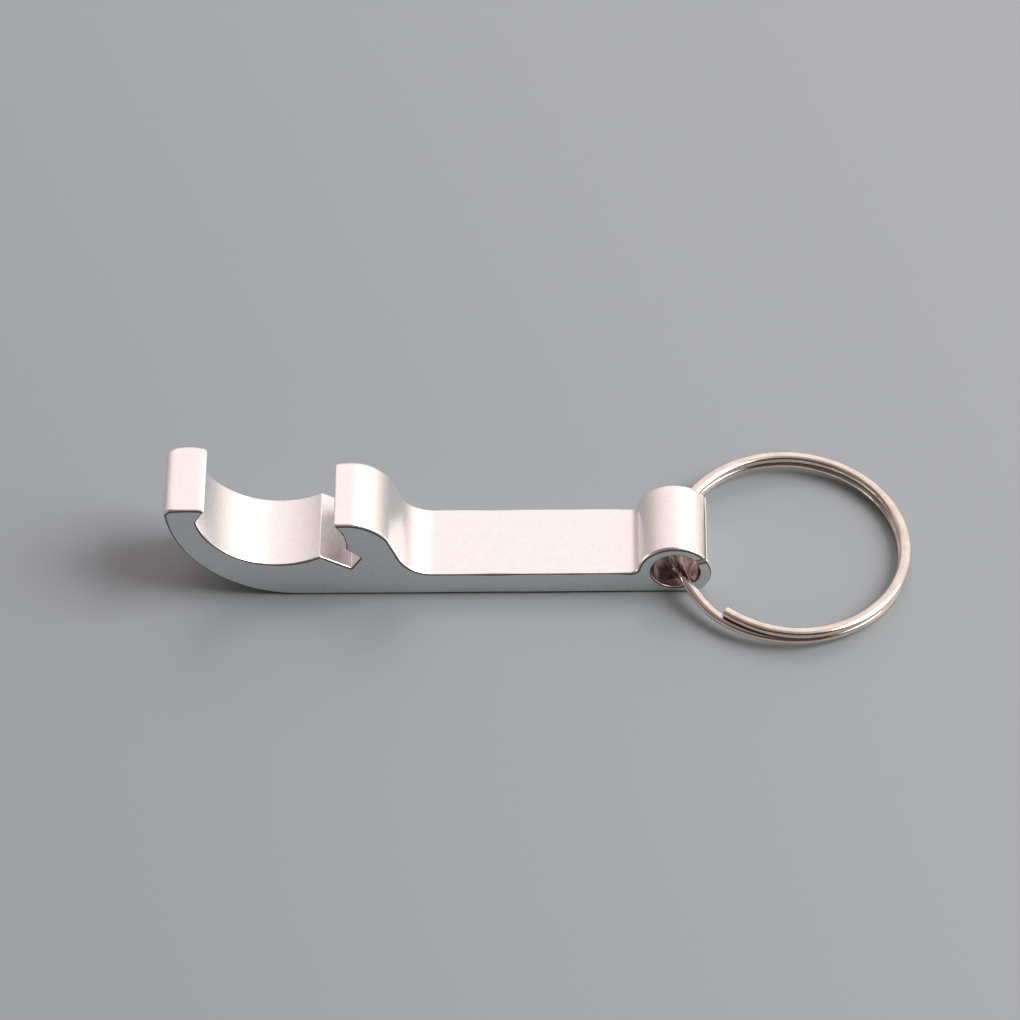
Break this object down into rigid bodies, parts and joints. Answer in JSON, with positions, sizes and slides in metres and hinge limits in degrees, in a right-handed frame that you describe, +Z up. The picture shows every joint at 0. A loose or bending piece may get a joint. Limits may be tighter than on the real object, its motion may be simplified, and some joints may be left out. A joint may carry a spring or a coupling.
{
  "type": "keychain bottle opener",
  "caption": "Slim aluminium bottle opener with a hooked cap mouth and a notched beak at one end and an eyelet at the other, in which a split ring hangs and swings.",
  "frame": {"origin": "on the flat underside of the body, midway along it and midway across it", "axes": "+X from the hook to the eyelet and the split ring, +Z up from the underside, Y across the extrusion"},
  "size_m": [0.0865, 0.0282, 0.0151],
  "materials": {
    "body_aluminium": "satin clear-anodised extrusion, tumbled after cutting",
    "ring_nickel": "bright nickel plating on spring steel"
  },
  "bodies": {
    "opener": {"opener_body": "body_aluminium"},
    "ring": {"split_ring": "ring_nickel"}
  },
  "joints": [
    {"name": "ring_swing", "type": "hinge", "parent": "opener", "child": "ring", "pos_m": [0.02735, 0, 0.0036], "axis": [0, -1, 0], "range_deg": [-163, 183]}
  ]
}
